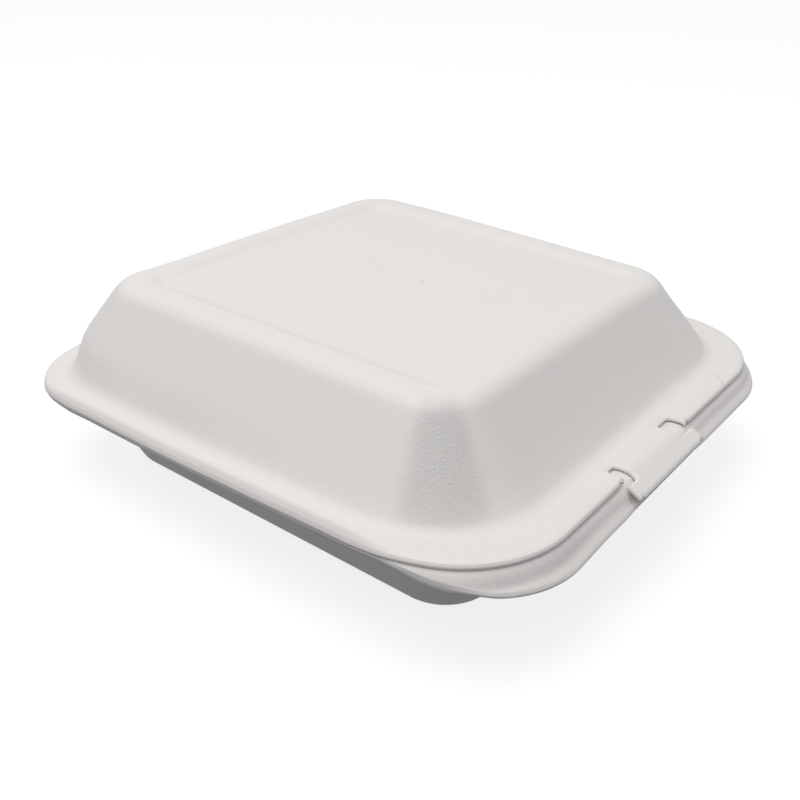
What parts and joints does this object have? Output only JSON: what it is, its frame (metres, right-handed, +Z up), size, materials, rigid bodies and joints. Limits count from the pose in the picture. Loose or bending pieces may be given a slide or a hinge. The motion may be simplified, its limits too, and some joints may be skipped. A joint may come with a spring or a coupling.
{
  "type": "foam clamshell container",
  "caption": "White foam clamshell food container, square, with a hinged lid, a recessed lid panel and a front tongue latch.",
  "frame": {"origin": "middle of the footprint of the bounding box, on the surface the container stands on", "axes": "+Z up, -Y towards the latch, +Y towards the hinge, +X to the right seen from the latch"},
  "size_m": [0.234, 0.253, 0.0825],
  "materials": {
    "foam": "matt expanded foam with a stretched skin"
  },
  "bodies": {
    "base": {"base": "foam", "living_hinge": "foam"},
    "lid": {"lid": "foam"}
  },
  "joints": [
    {"name": "lid_hinge", "type": "hinge", "parent": "base", "child": "lid", "pos_m": [0, 0.1262, 0.04615], "axis": [-1, 0, 0], "range_deg": [0, 180], "deforming": ["living_hinge"]}
  ]
}
